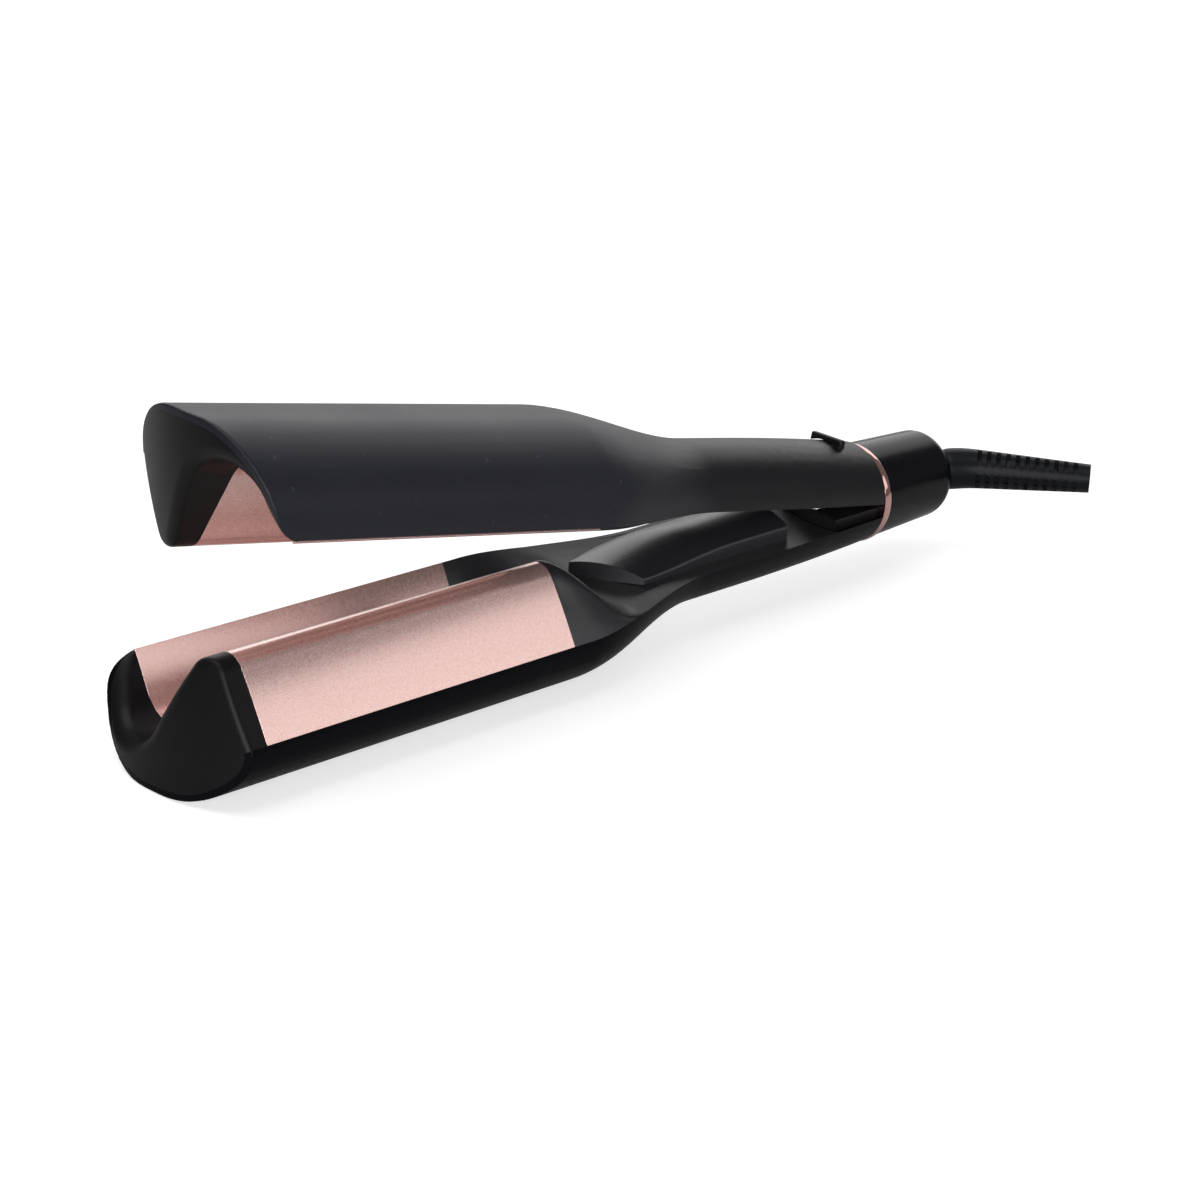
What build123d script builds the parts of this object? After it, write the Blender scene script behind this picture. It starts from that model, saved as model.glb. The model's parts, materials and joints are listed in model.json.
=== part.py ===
from build123d import *
import math
import os

# Hair waver: two arms hinged inside a ring, each with an S-shaped heated plate that nests
# into the other, a slide switch on the upper handle and a swivelling strain relief.
#
# The modelling frame has X along the lower arm from tip to cord with 0 at the front face of
# the accent ring, Y away from the near side, and Z up with 0 in the parting plane.
# The upper arm is the lower arm turned half a turn about X, then opened about the hinge.
# Points of a section are written (Y, Z).

os.makedirs("parts", exist_ok=True)

# ---------------------------------------------------------------- driving dimensions, mm
# Lengths along the arms
tip_length = 18.4
plate_length = 115.6
plate_setback = 7.5
lower_shoulder_length = 61.4
upper_shoulder_length = 65.6
handle_length = 86.9
taper_length = 66.0
cover_transition = 34.0
cover_setback = 24.0

# S-shaped plate: the foot of the near flank, the corners of the ridge and of the valley
# before they are rounded, and the top of the far lip
flank_foot = Vector(-28.0, -8.2)
ridge_corner = Vector(-10.3, 20.1)
valley_corner = Vector(12.9, -32.2)
lip_top = Vector(30.9, 0.2)
ridge_radius = 6.1
valley_radius = 12.2
plate_thickness = 1.5

# Shell: outline of the head from the near rim round the belly to the far rim;
# the belly is flat in the middle, so that the tool lies steadily on it
head_outline = [
    Vector(-28.34, -7.99),
    Vector(-28.8, -12.7),
    Vector(-22.3, -21.6),
    Vector(-8.0, -27.1),
    Vector(0.3, -27.3),
    Vector(8.5, -27.2),
    Vector(23.6, -20.8),
    Vector(32.5, -8.0),
    Vector(32.9, -1.2),
]
shell_wall = 2.1
far_rim_wall = 1.1
handle_radius = 18.2
ring_end_radius = 16.7
near_rim_drop = 3.8

# Nose of the arm
nose_radius = 42.0
nose_centre_y = 2.0
nose_centre_z = -9.0
nose_rounding_wanted = 3.5
nose_rounding_share = 0.65
nose_belly_rounding = 1.4

# Inner cover and its raised pad
cover_wall = 1.6
rim_step = 0.4
lower_floor_dip = 1.8
upper_floor_dip = 3.5
floor_crowding = 1.7
cover_gap = 0.2
pad_near_y = -10.4
pad_far_y = 15.4
pad_crown = 3.8
pad_crown_y = 3.0
pad_depth = 5.0
pad_front_x = -122.8
pad_length = 80.8
pad_rounding = 1.2
pad_far_slant = 19.0
pad_near_slant = 14.0
pad_point_y = 9.0
pad_far_z = 0.3
pad_far_edge = 2.3
pad_far_undercut = 3.6

# Hinge
hinge_x = 4.25
hinge_z = -0.4
open_angle = 10.37
pin_radius = 2.5
pin_setback = 1.0
pin_edge = 0.4
bush_radius = 3.6
bush_length = 4.4
knuckle_radius = 6.0
lug_half_width = 8.9
lug_plate_z = 6.0
lug_plate_thickness = 2.5
lug_length = 24.0
lug_gusset = 2.0
running_clearance = 0.05
hinge_clearance = 0.1
slot_clearance = 0.5
stop_gap = 0.3
frame_front_length = 22.0
frame_rear_length = 14.0
frame_top_gap = 1.0

# Opening spring
spring_x = -16.0
spring_radius = 3.8
spring_wire = 0.6
spring_turns = 5.0
spring_seat_z = -11.0
spring_pocket_radius = 5.2

# Accent ring and rear cap
ring_width = 3.1
ring_radius = 16.75
ring_bore = 14.2
ring_crown = 0.15
cap_length = 37.2
cap_front_radius = 16.4
cap_rear_radius = 14.9
cap_wall = 1.9
cap_rounding = 5.4
cap_mouth_radius = 8.5
cap_mouth_flare = 0.3

# Cord swivel
ball_radius = 8.3
ball_setback = 3.9
cage_radius = 11.7
cage_bore = 8.9
cage_width = 9.8
retainer_width = 1.8
retainer_bore = 9.4
trunnion_radius = 1.5
trunnion_root = 0.5
trunnion_setback = 0.2
swivel_spin = 12.0
swivel_tilt = 33.0

# Strain relief
relief_root_length = 15.6
relief_tail_length = 45.1
relief_bend_angle = 21.0
relief_bend_lift = 8.8
relief_bend_radius = 33.0
relief_neck_radius = 4.9
relief_flare_radius = 7.1
relief_tip_radius = 4.9
relief_start = 8.6
relief_flare_length = 3.4
relief_flare_hold = 3.0
cord_bore_radius = 3.0
slot_count = 11
slot_pitch = 3.3
slot_width = 1.5
slot_end_margin = 5.1
slot_root_depth = 2.0
slot_tip_depth = 1.2
slot_span = 63.0
slot_row_turn = 6.0
slot_overshoot = 1.0

# Heater stack behind each plate
web_z = -1.0
web_thickness = 2.0
heater_length = 78.0
heater_width = 12.0
heater_thickness = 4.5
heater_centre_y = -12.4
mica_thickness = 0.3
mica_margin = 1.0
clamp_length = 104.0
clamp_width = 15.0
clamp_thickness = 1.5
boss_radius = 3.0
clamp_screw_inset = 5.0
clamp_screw_radius = 1.25
clamp_screw_length = 6.0
screw_head_radius = 2.4
screw_head_height = 1.5
sensor_y = -4.2
thermistor_radius = 1.1
thermistor_length = 7.0
fuse_radius = 1.8
fuse_length = 11.0

# Control board and switch in the upper handle
board_front_x = -104.0
board_length = 68.0
board_width = 18.0
board_thickness = 1.6
board_z = 9.9
board_screw_radius = 1.1
board_screw_length = 6.0
board_boss_radius = 2.6
board_boss_height = 3.0
board_corner = 1.5
board_screw_inset = 5.0
relay_length = 15.0
relay_width = 10.0
relay_height = 2.6
capacitor_radius = 1.9
capacitor_length = 8.0
switch_length = 18.0
switch_width = 8.0
switch_height = 4.6
switch_corner = 1.0
slider_x = -16.6
slider_travel = 6.0
slider_bar_length = 13.8
slider_bar_width = 2.8
slider_top_z = 19.2
slider_edge = 0.4
slider_gap = 0.25
stem_width = 2.4
stem_clearance = 0.3
slider_foot_length = 6.0
slider_foot_width = 5.0
slider_foot_thickness = 1.1
slider_foot_clearance = 0.2
lug_screw_x = -11.0
lug_screw_y = 9.2
lug_screw_radius = 1.25
lug_screw_length = 5.4
lug_boss_radius = 2.5
lug_boss_height = 3.6

# ---------------------------------------------------------------- stations worked out
lower_shoulder = (-handle_length - lower_shoulder_length, -handle_length)
upper_shoulder = (-handle_length - upper_shoulder_length, -handle_length)
plate_rear_x = lower_shoulder[0] - plate_setback
plate_front_x = plate_rear_x - plate_length
plate_middle_x = (plate_front_x + plate_rear_x) / 2
boss_spacing = clamp_length - 2 * clamp_screw_inset
nose_x = plate_front_x - tip_length
slider_foot_z = lug_plate_z + lug_plate_thickness + switch_height + slider_foot_clearance
cap_front_x = ring_width
cap_rear_x = cap_front_x + cap_length
shell_samples = 13
cover_samples = 19
ledge_samples = 3
flank_direction = (ridge_corner - flank_foot).normalized()
rim_direction = Vector(flank_direction.Y, -flank_direction.X)
lip_direction = (lip_top - valley_corner).normalized()
lip_normal = Vector(lip_direction.Y, -lip_direction.X)

hinge = Pos(hinge_x, 0, hinge_z)
opened = hinge * Rot(0, open_angle, 0) * hinge.inverse()
upper_arm = opened * Rot(180, 0, 0)


# ---------------------------------------------------------------- section helpers
def blend(first, second, share):
    return first + (second - first) * share


def ease(t):
    """Share of a change that starts and ends without a crease."""
    t = min(max(t, 0.0), 1.0)
    return t * t * (3.0 - 2.0 * t)


def handle_radius_at(x):
    """Outer radius of the handle, which tapers over its rear part to the ring."""
    tapered = max(0.0, 1.0 + x / taper_length)
    return handle_radius - (handle_radius - ring_end_radius) * tapered**2


def cap_radius_at(x):
    """Outer radius of the rear cap, which narrows evenly towards the cord."""
    return blend(cap_front_radius, cap_rear_radius, (x - cap_front_x) / cap_length)


def shoulder_share(x, shoulder):
    start, end = shoulder
    return ease((x - start) / (end - start))


def stations(first, last, count):
    return [blend(first, last, i / (count - 1)) for i in range(count)]


def offset_points(points, distance, count):
    """Points at a distance to the left of the smooth curve through the given points."""
    curve = Edge.make_spline(points)
    moved = []
    for share in stations(0, 1, count):
        travel = curve.tangent_at(share)
        moved.append(curve.position_at(share) + Vector(-travel.Y, travel.X) * distance)
    return moved


def outer_points(x, shoulder):
    """Outside of an arm at a station, from the near rim round to the far rim."""
    radius = handle_radius_at(x)
    near_angle = 180 + math.degrees(math.asin(near_rim_drop / radius))
    share = shoulder_share(x, shoulder)
    points = []
    for i, head_point in enumerate(head_outline):
        angle = blend(near_angle, 360, i / (len(head_outline) - 1))
        points.append(blend(head_point, Vector(radius, 0).rotate(Axis.Z, angle), share))
    return points


def inner_points(outer, x, shoulder):
    """Inside of the shell wall; the near rim is a ledge square to the plate's flank."""
    inner = offset_points(outer, shell_wall, shell_samples)
    inward = (inner[0] - outer[0]).normalized()
    inner[0] = outer[0] + rim_direction * (shell_wall / rim_direction.dot(inward))
    rim_wall = blend(far_rim_wall, shell_wall, shoulder_share(x, shoulder))
    inner[-1] = blend(outer[-1], inner[-1], rim_wall / shell_wall)
    return inner


def shell_section(x, shoulder):
    """Wall of the shell at a station."""
    outer = outer_points(x, shoulder)
    inner = inner_points(outer, x, shoulder)
    with BuildSketch(Plane.YZ.offset(x)) as section:
        with BuildLine():
            Spline(*outer)
            Line(outer[-1], inner[-1])
            Spline(*reversed(inner))
            Line(inner[0], outer[0])
        make_face()
    return section.sketch


def plate_line():
    """The visible S of the plate."""
    with BuildLine() as line:
        FilletPolyline(
            flank_foot, ridge_corner, valley_corner, lip_top, radius=[ridge_radius, valley_radius]
        )
    return line.wires()[0]


s_line = plate_line()


def cover_points(x, shoulder, floor_dip):
    """Visible side of the inner cover, from the S behind the plate to the handle floor."""
    outer = outer_points(x, shoulder)
    inner = inner_points(outer, x, shoulder)
    to_handle = shoulder_share(x, shoulder)
    to_floor = ease((x - plate_rear_x) / cover_transition)
    near = outer[0] + rim_direction * rim_step
    lip_rise = lip_top - Vector(*cover_far_rim)
    far = inner[-1] + blend(lip_rise, Vector(-cover_gap, -cover_gap), to_handle)
    points = []
    for i in range(cover_samples):
        along = i / (cover_samples - 1)
        on_s = s_line.position_at(along)
        across = (on_s.X - flank_foot.X) / (lip_top.X - flank_foot.X)
        above_chord = on_s.Y - blend(flank_foot.Y, lip_top.Y, across)
        place = blend(across, along**floor_crowding, to_floor)
        sag = 4 * floor_dip * place * (1 - place)
        height = blend(above_chord, -sag, to_floor)
        points.append(blend(near, far, place) + Vector(0, height))
    return points


head_outer = outer_points(plate_rear_x, lower_shoulder)
cover_far_rim = tuple(inner_points(head_outer, plate_rear_x, lower_shoulder)[-1])


def cover_section(x, shoulder, floor_dip):
    """Wall of the inner cover at a station; its near edge lies on the shell's ledge."""
    top = cover_points(x, shoulder, floor_dip)
    under = offset_points(top, -cover_wall, cover_samples)
    downward = (under[0] - top[0]).normalized()
    corner = top[0] + rim_direction * (cover_wall / rim_direction.dot(downward))
    under = [corner] + under[ledge_samples:]
    far_direction = blend(lip_normal, Vector(0, -1), shoulder_share(x, shoulder))
    under[-1] = top[-1] + far_direction.normalized() * cover_wall
    with BuildSketch(Plane.YZ.offset(x)) as section:
        with BuildLine():
            Spline(*top)
            Line(top[-1], under[-1])
            Spline(*reversed(under))
            Line(under[0], top[0])
        make_face()
    return section.sketch


def is_long(edge):
    return edge.length > ridge_radius


# ---------------------------------------------------------------- pieces of one arm
def nose_length(point):
    """Length of the nose in front of the plate at a point of the section."""
    aside = point - Vector(nose_centre_y, nose_centre_z)
    return tip_length - nose_radius + math.sqrt(nose_radius**2 - aside.length**2)


# The S edge is rounded as far as the shorter end of the S leaves room
nose_rounding = min(
    nose_rounding_wanted, nose_rounding_share * min(nose_length(flank_foot), nose_length(lip_top))
)


def nose_form():
    """Whole form of the arm's nose, which trims the shell and the end cap alike."""
    outer = outer_points(plate_front_x, lower_shoulder)
    with BuildPart() as nose:
        with BuildSketch(Plane.YZ.offset(plate_front_x)):
            with BuildLine():
                FilletPolyline(
                    flank_foot,
                    ridge_corner,
                    valley_corner,
                    lip_top,
                    radius=[ridge_radius, valley_radius],
                )
                Line(lip_top, outer[-1])
                Spline(*reversed(outer))
                Line(outer[0], flank_foot)
            make_face()
        extrude(amount=-2 * tip_length)
        with Locations((nose_x + nose_radius, nose_centre_y, nose_centre_z)):
            Sphere(nose_radius, mode=Mode.INTERSECT)
        # The S edge is well rounded, the belly only as far as its thin far rim allows
        long_edges = nose.faces().filter_by(GeomType.SPHERE)[0].edges().filter_by(is_long)
        fillet(long_edges.sort_by(Axis.Z)[1:], radius=nose_rounding)
        front_edges = nose.faces().filter_by(GeomType.SPHERE).sort_by(Axis.X)[0].edges()
        fillet(front_edges.sort_by(Axis.Z)[0], radius=nose_belly_rounding)
    return nose.part


def arm_shell(shoulder, nose):
    with BuildPart() as shell:
        extrude(shell_section(plate_front_x, shoulder), amount=-2 * tip_length)
        add(nose, mode=Mode.INTERSECT)
        extrude(shell_section(plate_front_x, shoulder), amount=shoulder[0] - plate_front_x)
        shoulder_stations = stations(shoulder[0], shoulder[1], 9)
        loft([shell_section(x, shoulder) for x in shoulder_stations])
        handle_stations = [shoulder[1], -taper_length] + stations(-taper_length, 0, 4)[1:]
        loft([shell_section(x, shoulder) for x in handle_stations])
    return shell.part


def arm_end_cap(nose):
    outer = outer_points(plate_front_x, lower_shoulder)
    inner = inner_points(outer, plate_front_x, lower_shoulder)
    with BuildPart() as end_cap:
        with BuildSketch(Plane.YZ.offset(plate_front_x)):
            with BuildLine():
                FilletPolyline(
                    flank_foot,
                    ridge_corner,
                    valley_corner,
                    lip_top,
                    radius=[ridge_radius, valley_radius],
                )
                Line(lip_top, outer[-1])
                Line(outer[-1], inner[-1])
                Spline(*reversed(inner))
                Line(inner[0], flank_foot)
            make_face()
        extrude(amount=-2 * tip_length)
        add(nose, mode=Mode.INTERSECT)
    return end_cap.part


def arm_plate():
    web_near_y = heater_centre_y - heater_width / 2 - 2 * boss_radius
    with BuildPart() as plate:
        with BuildSketch(Plane.YZ.offset(plate_front_x)):
            with BuildLine():
                FilletPolyline(
                    flank_foot,
                    ridge_corner,
                    valley_corner,
                    lip_top,
                    radius=[ridge_radius, valley_radius],
                )
                offset(amount=plate_thickness, side=Side.RIGHT)
            make_face()
        extrude(amount=plate_length)
        with BuildSketch(Plane.YZ.offset(plate_front_x)):
            with BuildLine():
                Polyline(
                    at_height(flank_foot, ridge_corner, web_z),
                    at_height(ridge_corner, valley_corner, web_z),
                    at_height(ridge_corner, valley_corner, web_z - web_thickness),
                    at_height(flank_foot, ridge_corner, web_z - web_thickness),
                    close=True,
                )
            make_face()
        extrude(amount=plate_length)
        boss_height = heater_thickness + 2 * mica_thickness
        with BuildSketch(Plane.XY.offset(web_z - web_thickness)):
            with Locations((plate_middle_x, heater_centre_y)):
                with GridLocations(boss_spacing, 0, 2, 1):
                    Circle(boss_radius)
        extrude(amount=-boss_height)
        with BuildSketch(Plane.XY.offset(web_z - web_thickness - boss_height)):
            with Locations((plate_middle_x, heater_centre_y)):
                with GridLocations(boss_spacing, 0, 2, 1):
                    Circle(clamp_screw_radius)
        extrude(amount=clamp_screw_length - clamp_thickness, mode=Mode.SUBTRACT)
    return plate.part


def at_height(lower, upper, z):
    """Point of a slanted line at a height."""
    return blend(lower, upper, (z - lower.Y) / (upper.Y - lower.Y))


def layer(z, length, width, height):
    """Flat rectangular layer of the heater stack, under the web, with its top at z."""
    with BuildPart() as slab:
        with BuildSketch(Plane.XY.offset(z)):
            with Locations((plate_middle_x, heater_centre_y)):
                Rectangle(length, width)
        extrude(amount=-height)
    return slab.part


stack_top = web_z - web_thickness
heater_top = stack_top - mica_thickness
lower_mica_top = heater_top - heater_thickness
clamp_top = lower_mica_top - mica_thickness


def arm_heater():
    return layer(heater_top, heater_length, heater_width, heater_thickness)


def arm_mica():
    with BuildPart() as mica:
        for top in (stack_top, lower_mica_top):
            add(layer(top, heater_length, heater_width + mica_margin, mica_thickness))
    return mica.part


def arm_clamp():
    with BuildPart() as clamp:
        with BuildSketch(Plane.XY.offset(clamp_top)):
            with Locations((plate_middle_x, heater_centre_y)):
                SlotOverall(clamp_length, clamp_width)
                with GridLocations(boss_spacing, 0, 2, 1):
                    Circle(clamp_screw_radius + running_clearance, mode=Mode.SUBTRACT)
        extrude(amount=-clamp_thickness)
    return clamp.part


def screw(radius, length):
    """Pan head screw along +Z, its head below the origin."""
    with BuildPart() as bolt:
        with BuildSketch():
            Circle(radius)
        extrude(amount=length)
        with BuildSketch():
            Circle(screw_head_radius)
        extrude(amount=-screw_head_height)
        chamfer(bolt.edges().sort_by(Axis.Z)[0], length=screw_head_height / 3)
    return bolt.part


def arm_clamp_screws():
    bolt = screw(clamp_screw_radius - running_clearance, clamp_screw_length - 2 * running_clearance)
    with BuildPart() as screws:
        with Locations((plate_middle_x, heater_centre_y, clamp_top - clamp_thickness)):
            with GridLocations(boss_spacing, 0, 2, 1):
                add(bolt)
    return screws.part


def arm_inner_cover(shoulder, floor_dip):
    neck_stations = stations(plate_rear_x, shoulder[1], 15)
    handle_stations = [shoulder[1]] + stations(-taper_length, -cover_setback, 3)
    with BuildPart() as cover:
        loft([cover_section(x, shoulder, floor_dip) for x in neck_stations])
        loft([cover_section(x, shoulder, floor_dip) for x in handle_stations], ruled=True)
    return cover.part


def capsule(radius, length, x):
    """Small sensor body along X, against the underside of the web."""
    with BuildPart() as body:
        with BuildSketch(Plane.YZ.offset(x)):
            with Locations((sensor_y, stack_top - radius)):
                Circle(radius)
        extrude(amount=length)
        chamfer(body.edges().filter_by(GeomType.CIRCLE), length=radius / 2)
    return body.part


def handle_pad():
    """Raised pad on the lower cover, crowned across and cut slanting at its front."""
    pad_rear_x = pad_front_x + pad_length
    with BuildPart() as pad:
        with BuildSketch(Plane.XY.offset(-pad_depth)):
            with BuildLine():
                Polyline(
                    (pad_rear_x, pad_near_y),
                    (pad_rear_x, pad_far_y),
                    (pad_front_x + pad_far_slant, pad_far_y),
                    (pad_front_x, pad_point_y),
                    (pad_front_x + pad_near_slant, pad_near_y),
                    close=True,
                )
            make_face()
        extrude(amount=2 * pad_depth)
        with BuildSketch(Plane.YZ.offset(pad_front_x)):
            with BuildLine():
                ThreePointArc((pad_near_y, 0), (pad_crown_y, pad_crown), (pad_far_y, pad_far_z))
                Polyline(
                    (pad_far_y, pad_far_z),
                    (pad_far_y, pad_far_z - pad_far_edge),
                    (pad_far_y - pad_far_undercut, -pad_depth),
                    (pad_near_y, -pad_depth),
                    (pad_near_y, 0),
                )
            make_face()
        extrude(amount=pad_length, mode=Mode.INTERSECT)
        fillet(pad.faces().sort_by(Axis.Z)[-1].edges().sort_by(Axis.Y)[0], radius=pad_rounding)
    return pad.part


nose = nose_form()

# ---------------------------------------------------------------- lower arm
with BuildPart() as lower_shell:
    add(arm_shell(lower_shoulder, nose))
lower_shell.part.label = "lower_shell"

with BuildPart() as lower_end_cap:
    add(arm_end_cap(nose))
lower_end_cap.part.label = "lower_end_cap"

with BuildPart() as lower_plate:
    add(arm_plate())
lower_plate.part.label = "lower_plate"

with BuildPart() as lower_heater:
    add(arm_heater())
lower_heater.part.label = "lower_heater"

with BuildPart() as lower_mica:
    add(arm_mica())
lower_mica.part.label = "lower_mica"

with BuildPart() as lower_clamp:
    add(arm_clamp())
lower_clamp.part.label = "lower_clamp"

with BuildPart() as lower_clamp_screws:
    add(arm_clamp_screws())
lower_clamp_screws.part.label = "lower_clamp_screws"

with BuildPart() as thermistor:
    add(capsule(thermistor_radius, thermistor_length, plate_middle_x))
thermistor.part.label = "thermistor"

with BuildPart() as lower_inner_cover:
    add(arm_inner_cover(lower_shoulder, lower_floor_dip))
    add(handle_pad())
lower_inner_cover.part.label = "lower_inner_cover"

# ---------------------------------------------------------------- hinge
frame_radius = cap_radius_at(frame_rear_length) - cap_wall - hinge_clearance
pin_half_length = frame_radius - hinge_clearance - pin_setback
slot_half_width = lug_half_width + hinge_clearance

with BuildPart() as hinge_frame:
    with BuildSketch(Plane.YZ.offset(-frame_front_length)):
        Circle(frame_radius)
    extrude(amount=frame_front_length + cap_front_x + frame_rear_length - ring_width)
    # The top is cut away in front of the ring, where the upper arm comes down
    with Locations((-frame_front_length, 0, -frame_top_gap)):
        Box(
            frame_front_length,
            4 * frame_radius,
            2 * frame_radius,
            align=(Align.MIN, Align.CENTER, Align.MIN),
            mode=Mode.SUBTRACT,
        )
    # Slot for the knuckle of the upper arm
    with BuildSketch(Plane.XZ.offset(-slot_half_width)):
        with Locations((hinge_x, hinge_z)):
            Circle(knuckle_radius + slot_clearance)
    extrude(amount=2 * slot_half_width, mode=Mode.SUBTRACT)
    with Locations((hinge_x - knuckle_radius - slot_clearance, 0, hinge_z)):
        Box(
            2 * (knuckle_radius + slot_clearance),
            2 * slot_half_width,
            2 * frame_radius,
            align=(Align.MIN, Align.CENTER, Align.MIN),
            mode=Mode.SUBTRACT,
        )
    with Locations(Plane((spring_x, 0, spring_seat_z))):
        Cylinder(
            spring_pocket_radius,
            2 * frame_radius,
            align=(Align.CENTER, Align.CENTER, Align.MIN),
            mode=Mode.SUBTRACT,
        )
    with BuildSketch(Plane.XZ.offset(-2 * frame_radius)):
        with Locations((hinge_x, hinge_z)):
            Circle(pin_radius)
    extrude(amount=4 * frame_radius, mode=Mode.SUBTRACT)
hinge_frame.part.label = "hinge_frame"

with BuildPart() as hinge_pin:
    with BuildSketch(Plane.XZ.offset(-pin_half_length)):
        with Locations((hinge_x, hinge_z)):
            Circle(pin_radius)
    extrude(amount=2 * pin_half_length)
    chamfer(hinge_pin.edges().filter_by(GeomType.CIRCLE), length=pin_edge)
hinge_pin.part.label = "hinge_pin"

with BuildPart() as hinge_lug_closed:
    with BuildSketch(Plane.XZ.offset(-lug_half_width)):
        with Locations((hinge_x, hinge_z)):
            Circle(knuckle_radius)
        with BuildLine():
            Polyline(
                (-lug_length, lug_plate_z),
                (-lug_length, lug_plate_z + lug_plate_thickness),
                (hinge_x, lug_plate_z + lug_plate_thickness),
                (hinge_x + knuckle_radius, hinge_z),
                (hinge_x - knuckle_radius, hinge_z),
                (hinge_x - knuckle_radius - lug_gusset, lug_plate_z),
                close=True,
            )
        make_face()
    extrude(amount=2 * lug_half_width)
    # Ears beside the switch, screwed up to the bosses of the shell
    with BuildSketch(Plane.XY.offset(lug_plate_z)):
        with Locations((lug_screw_x, 0)):
            Rectangle(3 * lug_boss_radius, 2 * (lug_screw_y + lug_boss_radius))
    extrude(amount=lug_plate_thickness)
    with Locations((lug_screw_x, lug_screw_y, lug_plate_z), (lug_screw_x, -lug_screw_y, lug_plate_z)):
        Cylinder(
            lug_screw_radius + running_clearance, 4 * lug_plate_thickness, mode=Mode.SUBTRACT
        )
    # Bores for the bushes and, between them, for the pin
    with BuildSketch(Plane.XZ.offset(-lug_half_width)):
        with Locations((hinge_x, hinge_z)):
            Circle(pin_radius + 2 * running_clearance)
    extrude(amount=2 * lug_half_width, mode=Mode.SUBTRACT)
    for side in (-1, 1):
        with BuildSketch(Plane.XZ.offset(side * lug_half_width)):
            with Locations((hinge_x, hinge_z)):
                Circle(bush_radius)
        extrude(amount=-side * bush_length, mode=Mode.SUBTRACT)

with BuildPart() as hinge_lug:
    add(hinge_lug_closed.part.moved(opened))
hinge_lug.part.label = "hinge_lug"

with BuildPart() as hinge_bushes:
    for side in (-1, 1):
        with BuildSketch(Plane.XZ.offset(side * lug_half_width)):
            with Locations((hinge_x, hinge_z)):
                Circle(bush_radius)
                Circle(pin_radius + running_clearance, mode=Mode.SUBTRACT)
        extrude(amount=-side * bush_length)
hinge_bushes.part.label = "hinge_bushes"

spring_top = opened * Pos(spring_x, 0, lug_plate_z)
spring_tilt_room = (spring_radius + spring_wire) * math.tan(math.radians(open_angle))
spring_length = spring_top.position.Z - spring_seat_z - stop_gap - spring_tilt_room
with BuildPart() as opening_spring:
    with BuildLine() as coil:
        Helix(
            pitch=(spring_length - 2 * spring_wire) / spring_turns,
            height=spring_length - 2 * spring_wire,
            radius=spring_radius,
            center=(spring_x, 0, spring_seat_z + spring_wire),
        )
    with BuildSketch(Plane(origin=coil.line @ 0, z_dir=coil.line % 0)):
        RegularPolygon(spring_wire, 6)
    sweep()
opening_spring.part.label = "opening_spring"

# ---------------------------------------------------------------- ring and rear cap
with BuildPart() as accent_ring:
    with BuildSketch(Plane.XY):
        with BuildLine():
            Polyline((0, ring_radius), (0, ring_bore), (ring_width, ring_bore), (ring_width, ring_radius))
            ThreePointArc(
                (0, ring_radius), (ring_width / 2, ring_radius + ring_crown), (ring_width, ring_radius)
            )
        make_face()
    revolve(axis=Axis.X)
accent_ring.part.label = "accent_ring"

bore_end_x = cap_rear_x - cap_wall
retainer_front_x = bore_end_x - hinge_clearance - cage_width - retainer_width
cage_fit_radius = cage_radius + hinge_clearance


with BuildPart() as rear_cap:
    with BuildSketch(Plane.XY):
        with BuildLine():
            Polyline(
                (cap_front_x, 0),
                (cap_front_x, cap_front_radius),
                (cap_rear_x, cap_rear_radius),
                (cap_rear_x, 0),
                close=True,
            )
        make_face()
    revolve(axis=Axis.X)
    fillet(rear_cap.edges().sort_by(Axis.X)[-1], radius=cap_rounding)
    with BuildSketch(Plane.XY):
        with BuildLine():
            Polyline(
                (cap_front_x, 0),
                (cap_front_x, cap_front_radius - cap_wall),
                (retainer_front_x, cap_radius_at(retainer_front_x) - cap_wall),
                (retainer_front_x, cage_fit_radius),
                (bore_end_x, cage_fit_radius),
                (bore_end_x, cap_mouth_radius),
                (cap_rear_x, cap_mouth_radius + cap_mouth_flare),
                (cap_rear_x, 0),
                close=True,
            )
        make_face()
    revolve(axis=Axis.X, mode=Mode.SUBTRACT)
rear_cap.part.label = "rear_cap"

with BuildPart() as swivel_retainer:
    with BuildSketch(Plane.YZ.offset(retainer_front_x)):
        Circle(cage_fit_radius)
        Circle(retainer_bore, mode=Mode.SUBTRACT)
    extrude(amount=retainer_width - hinge_clearance)
swivel_retainer.part.label = "swivel_retainer"

# ---------------------------------------------------------------- swivel and strain relief
ball_x = cap_rear_x - ball_setback
spun = Pos(ball_x, 0, 0) * Rot(-swivel_spin, 0, 0)
root = spun * Rot(0, 0, -swivel_tilt)

with BuildPart() as swivel_cage_level:
    with BuildSketch(Plane.YZ.offset(bore_end_x - hinge_clearance - cage_width)):
        Circle(cage_radius)
        Circle(cage_bore, mode=Mode.SUBTRACT)
    extrude(amount=cage_width - hinge_clearance)
    with Locations((ball_x, 0, 0)):
        Cylinder(trunnion_radius + running_clearance, 4 * cage_radius, mode=Mode.SUBTRACT)

with BuildPart() as swivel_cage:
    add(swivel_cage_level.part.moved(Pos(ball_x, 0, 0) * Rot(-swivel_spin, 0, 0) * Pos(-ball_x, 0, 0)))
swivel_cage.part.label = "swivel_cage"

# In the frame of the root the relief leaves the ball along X
root_corner = Vector(relief_root_length, 0, 0)
tail_direction = Vector(1, 0, 0).rotate(Axis.Z, -relief_bend_angle).rotate(Axis.Y, relief_bend_lift)
relief_end = root_corner + tail_direction * relief_tail_length
with BuildLine() as relief_line:
    FilletPolyline((0, 0, 0), root_corner, relief_end, radius=relief_bend_radius)
relief_path = relief_line.wires()[0]


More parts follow.
